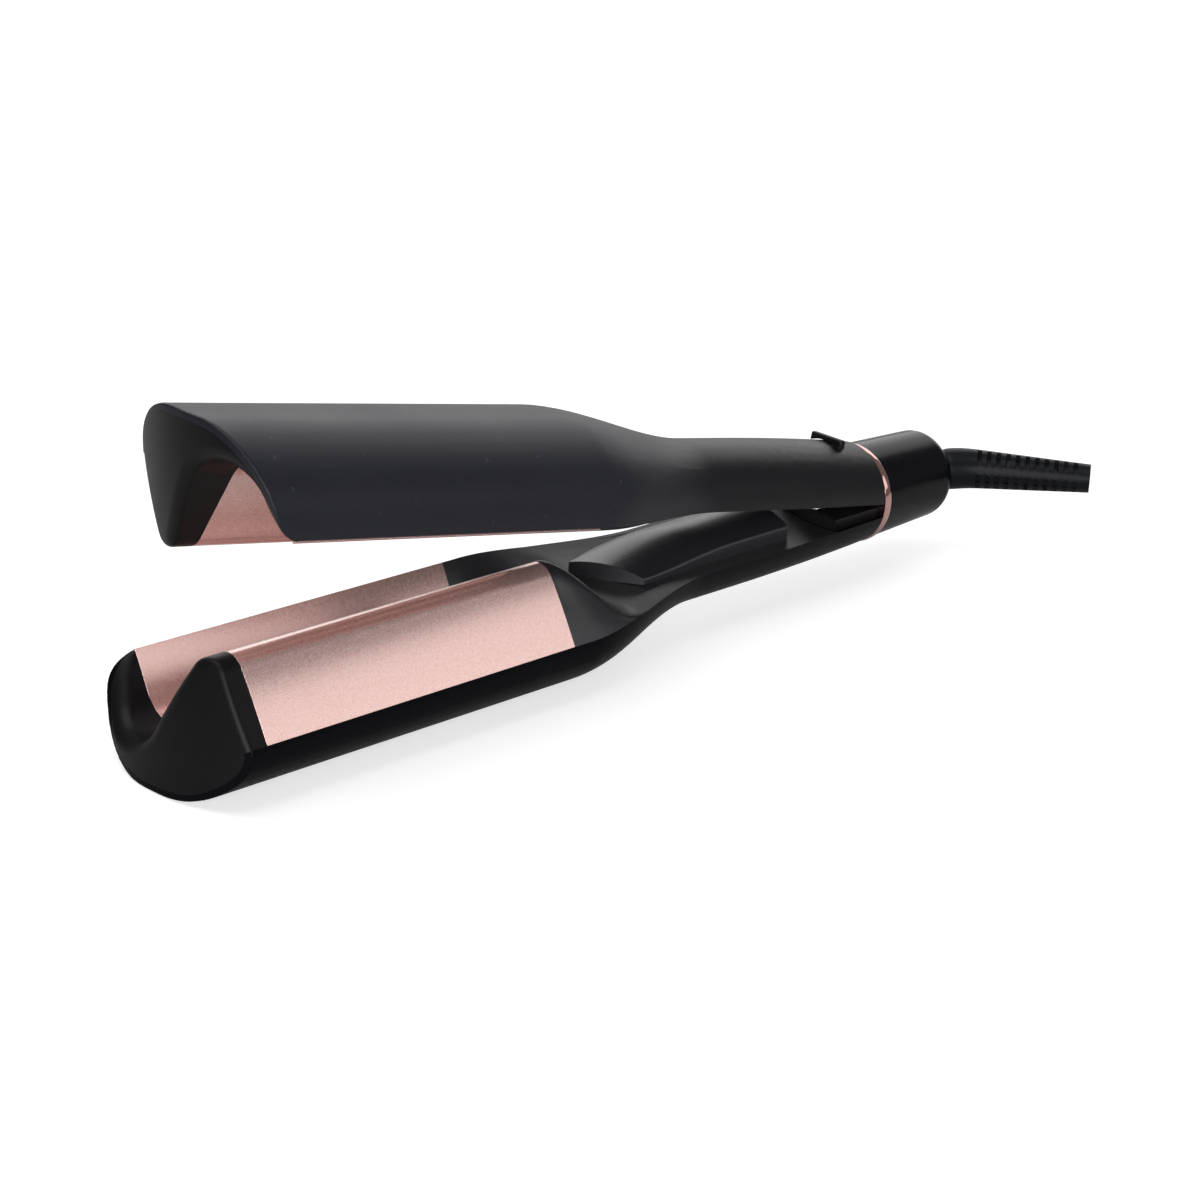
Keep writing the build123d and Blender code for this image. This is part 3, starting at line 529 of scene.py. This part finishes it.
def on_crown(spot):
    """Whether a spot lies on the crown of the pad or on its rounded near edge."""
    if not (pad_x[0] < spot.x < pad_x[1] and pad_y[0] < spot.y < pad_y[1]):
        return False
    below = crown_z + (crown_radius_squared - (spot.y - crown_y) ** 2) ** 0.5 - spot.z
    return -crown_slack < below < (rounded_depth if spot.y < rounded_y else crown_slack)


def smooth_step(share):
    """Smooth step from 0 to 1."""
    share = min(max(share, 0.0), 1.0)
    return share * share * (3.0 - 2.0 * share)


# %% Ramp the pad. Its length and drop are in metres, its cuts are millimetres from its tip
ramp_tip = Vector((-0.1228, 0.009, 0.0))
ramp_inward = Vector((0.811, 0.585, 0.0)).normalized()
ramp_length, ramp_drop = 0.034, 0.0032
ramp_cuts = (2, 4, 6, 9, 12, 15, 18, 22, 26, 30, 34)


def ramp_pad(work, arm):
    """Let the pad rise softly from the neck."""
    place = arm_place[arm]
    back = place.inverted()
    crown = [f for f in work.faces if all(on_crown(1000.0 * (back @ v.co)) for v in f.verts)]
    start = (place @ ramp_tip).dot(ramp_inward)
    points = cut_across(work, crown, ramp_inward, [start + 0.001 * d for d in ramp_cuts])
    for point in points:
        share = (point.co.dot(ramp_inward) - start) / ramp_length
        point.co.z -= ramp_drop * (1 - smooth_step(share))
    print("ramped pad faces", len(crown), "points", len(points))


# %% [markdown]
# ## From a solid to a moulded piece
#
# A solid from the drawing office has perfectly sharp edges, and nothing looks more like a
# drawing than those. Real mouldings have edges rounded by a few tenths of a millimetre, and
# where two pieces meet, the two rounded edges make a fine groove. So each visible node is
# copied, its loose triangles are merged, its flat areas are joined again, and its sharp edges
# get a small bevel. A bevel modifier could round them too, but the operator is told exactly
# which edges to take. The finished piece stands in for its node. A weighted normal keeps the
# large faces flat in the light, because without it the narrow bevels would bend them.

# %% Round the edges of a node
merge_distance = 2e-6
flat_angle, crease_angle, sharp_angle = radians(0.5), radians(32.0), radians(50.0)


def folded(edge, angle):
    """Whether the two faces of an edge meet at more than an angle."""
    return len(edge.link_faces) == 2 and edge.calc_face_angle() > angle


def moulded(node, finish, rounding, reshape=None):
    """Copy of a node with rounded edges, which replaces the node. reshape works on it first."""
    work = bmesh.new()
    work.from_mesh(frame["nodes"][node].data)
    bmesh.ops.remove_doubles(work, verts=work.verts, dist=merge_distance)
    bmesh.ops.dissolve_limit(work, angle_limit=flat_angle, verts=work.verts, edges=work.edges)
    if reshape:
        reshape(work, node.split("_")[0])
    creases = [e for e in work.edges if folded(e, crease_angle)]
    bmesh.ops.bevel(
        work,
        geom=creases,
        offset=rounding,
        offset_type="OFFSET",
        segments=2,
        profile=0.5,
        affect="EDGES",
        clamp_overlap=True,
        material=-1,
    )
    for face in work.faces:
        face.smooth = True
    for edge in work.edges:
        edge.smooth = not folded(edge, sharp_angle)
    mesh = bpy.data.meshes.new(node + "_moulded")
    work.to_mesh(mesh)
    work.free()
    piece = bpy.data.objects.new(node + "_moulded", mesh)
    bpy.context.scene.collection.objects.link(piece)
    mesh.materials.append(finish)
    weighted = piece.modifiers.new("flat_faces", "WEIGHTED_NORMAL")
    weighted.keep_sharp = True
    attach(piece, frame["nodes"][node]["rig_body"])
    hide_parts(node)
    print("moulded", node, "faces", len(mesh.polygons), "rounded edges", len(creases))
    return piece


# %% [markdown]
# ## The two arms
#
# An arm is a shell, a cap on its nose, a plate, and a cover behind the plate. Shell and cap
# share the sweep of the nose, so they get it alike. Both plates have the belly. Only the
# lower handle has a pad, so only its cover is ramped. One loop makes both arms, so what is
# put right on one is put right on the other.

# %% Mould the pieces of both arms
shell_finish = {"lower": handle_black, "upper": soft_touch}
cover_shape = {"lower": ramp_pad, "upper": None}
for arm in ("lower", "upper"):
    moulded(f"{arm}_shell", shell_finish[arm], 0.0004, sweep_nose)
    moulded(f"{arm}_end_cap", satin_black, 0.0004, sweep_nose)
    moulded(f"{arm}_inner_cover", cover_black, 0.00025, cover_shape[arm])
    moulded(f"{arm}_plate", ceramic.material, 0.0002, swell_flank)

# %% [markdown]
# ## Ring, rear cap, button and strain relief
#
# The ring closes the hinge off, the rear cap holds the swivel of the cord, the button slides
# on the upper handle, and slots make the strain relief soft enough to bend. Their solids have
# the right form already, so they only get rounded edges and a finish.

# %% The ring, the rear cap, the switch and the cord's strain relief
moulded("accent_ring", chrome.material, 0.0002)
moulded("rear_cap", gloss_black, 0.0003)
moulded("switch_slider", satin_black, 0.0002)
moulded("strain_relief", rubber_black, 0.0002)

# %% [markdown]
# ## The pieces inside
#
# What a housing hides needs no rounded edges. These nodes keep their solids and only get
# their finishes, so they look right if someone takes the tool apart.

# %% Inner pieces keep their solids and get their finishes
inner = {
    "lower_heater": alumina,
    "upper_heater": alumina,
    "lower_mica": mica,
    "upper_mica": mica,
    "lower_clamp": steel,
    "upper_clamp": steel,
    "lower_clamp_screws": steel,
    "upper_clamp_screws": steel,
    "thermistor": bead_glass,
    "thermal_fuse": steel,
    "hinge_frame": nylon_black,
    "hinge_lug": nylon_black,
    "hinge_pin": steel,
    "hinge_bushes": bronze,
    "swivel_retainer": nylon_black,
    "swivel_cage": nylon_black,
    "swivel_ball": satin_black,
    "control_board": board_green,
    "board_screws": steel,
    "lug_screws": steel,
    "switch_body": nylon_black,
}
for node, finish in inner.items():
    materials = frame["nodes"][node].data.materials
    materials.clear()
    materials.append(finish)
print("inner nodes", len(inner))

# %% [markdown]
# ## The opening spring
#
# A coil spring stands in its pocket and pushes the arms open. When they close, the lug comes
# down on it and it gets shorter. A rigid coil would poke through the lug. Here the spring is
# a piece of its own, with a mesh of its own.

# %% The spring, a piece with a mesh of its own
spring = moulded("opening_spring", spring_steel, 0.00002)
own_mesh(spring)

# %% [markdown]
# ## Floor
#
# The tool lies on a pale floor. Stronger lamps would whiten the floor, but they would grey
# the blacks as well. Instead the floor glows only for the camera, through the Is Camera Ray
# output of Light Path, so the surroundings are white, the soft shadow stays, and the
# undersides stay dark.

# %% The floor
floor_glow = 0.62
bpy.ops.mesh.primitive_plane_add(size=12.0, location=(0.0, 0.0, 0.0))
floor = bpy.context.object
floor.name = "floor"
floor_finish = Finish("floor_white")
seen = floor_finish.add("ShaderNodeLightPath", {}, {}, "Is Camera Ray")
tint = floor_finish.noise(0.4)
floor_finish.set("Base Color", floor_finish.mix(tint, (0.60, 0.60, 0.60), (0.62, 0.62, 0.62)))
floor_finish.set("Roughness", 0.9)
floor_finish.set("Emission Color", (1.0, 1.0, 1.0))
floor_finish.set("Emission Strength", seen * floor_glow)
floor.data.materials.append(floor_finish.material)
print("floor", tuple(floor.dimensions))

# %% [markdown]
# ## Light
#
# Black, smooth forms are drawn by what they mirror, so large soft panels suit them better
# than lamps, which would only leave dots. Four panels stand around the tool: one overhead for
# the tops, one beyond the noses, a low narrow one on the near side whose upper edge fades
# along the crest of the plate, and a wide one behind, which the tops of handle and rear cap
# mirror at a grazing angle. The world fills the shadows a little.

# %% The lights
middle = Vector((0.0, 0.0, 0.05))


def panel(name, place, width, height, power):
    """Soft rectangular light that faces the middle of the tool. Its power is in watts."""
    light = bpy.data.lights.new(name, "AREA")
    light.shape = "RECTANGLE"
    light.size = width
    light.size_y = height
    light.energy = power
    lamp = bpy.data.objects.new(name, light)
    bpy.context.scene.collection.objects.link(lamp)
    lamp.location = place
    lamp.rotation_euler = (middle - Vector(place)).to_track_quat("-Z", "Y").to_euler()
    print("light", name, power)


panel("overhead", (-0.3, 0.1, 1.3), 1.2, 1.0, 10.0)
panel("near_left", (-1.1, -1.0, 0.45), 0.9, 0.7, 14.0)
panel("near_right", (0.6, -1.0, 0.47), 0.95, 0.45, 1.55)
panel("back_wall", (1.2, 1.15, 0.8), 2.6, 1.3, 16.0)

# %% The fill light of the room
world = bpy.data.worlds.new("studio")
bpy.context.scene.world = world
world.use_nodes = True
background = world.node_tree.nodes["Background"].inputs
background["Color"].default_value = (1.0, 1.0, 1.0, 1.0)
background["Strength"].default_value = 0.18
print("fill light", world.name)

# %% [markdown]
# ## Camera
#
# A short lens close by would make the noses too large and the handle too thin. A long lens
# from nearly a metre away shows the tool with little perspective, as is usual for products.
# The camera looks along a direction and is then rolled by a few degrees.

# %% The camera
view_direction = Vector((0.6751, 0.6410, -0.3651))
roll = Quaternion((0.0, 0.0, 1.0), radians(3.865))
camera = bpy.data.objects.new("camera", bpy.data.cameras.new("camera"))
bpy.context.scene.collection.objects.link(camera)
camera.data.lens = 85.1
camera.data.sensor_width = 36.0
camera.data.clip_start = 0.05
camera.rotation_mode = "QUATERNION"
camera.rotation_quaternion = view_direction.to_track_quat("-Z", "Y") @ roll
camera.location = (-0.6065, -0.5570, 0.3375)
bpy.context.scene.camera = camera
bpy.context.scene.view_settings.view_transform = "Standard"
print("camera", tuple(round(c, 4) for c in camera.location), "lens", camera.data.lens)
